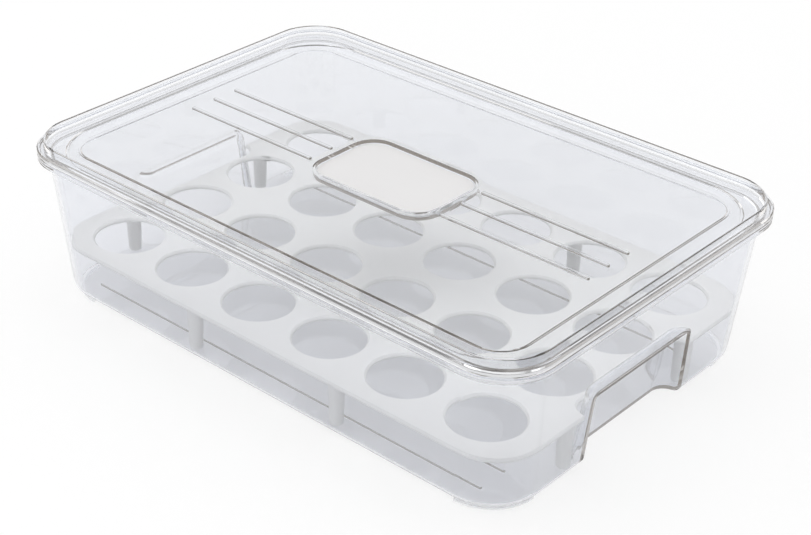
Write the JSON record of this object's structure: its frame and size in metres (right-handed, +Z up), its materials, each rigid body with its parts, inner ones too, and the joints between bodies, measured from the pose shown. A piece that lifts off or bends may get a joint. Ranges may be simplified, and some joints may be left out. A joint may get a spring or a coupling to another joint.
{
  "type": "egg storage box",
  "caption": "Clear lidded bin with a white egg tray on legs, a stacking lid with a label pocket, and finger recesses in both ends.",
  "frame": {"origin": "middle of the box's base, on the plane of the undersides of the four stacking feet", "axes": "+X along the length, towards one finger recess; +Y across the width; +Z up, out of the bin"},
  "size_m": [0.32, 0.22, 0.088],
  "materials": {
    "clear_bin_plastic": "polished clear plastic",
    "white_tray_plastic": "smooth satin white plastic",
    "clear_lid_plastic": "polished clear plastic",
    "white_label_plastic": "blank matt white"
  },
  "bodies": {
    "bin": {"bin": "clear_bin_plastic"},
    "egg_tray": {"egg_tray": "white_tray_plastic"},
    "lid": {"lid": "clear_lid_plastic", "label_plate": "white_label_plastic"}
  },
  "joints": [
    {"name": "tray_lift", "type": "slide", "parent": "bin", "child": "egg_tray", "axis": [0, 0, 1], "range_m": [0, 0.1]},
    {"name": "lid_lift", "type": "slide", "parent": "egg_tray", "child": "lid", "axis": [0, 0, 1], "range_m": [0, 0.12]}
  ]
}
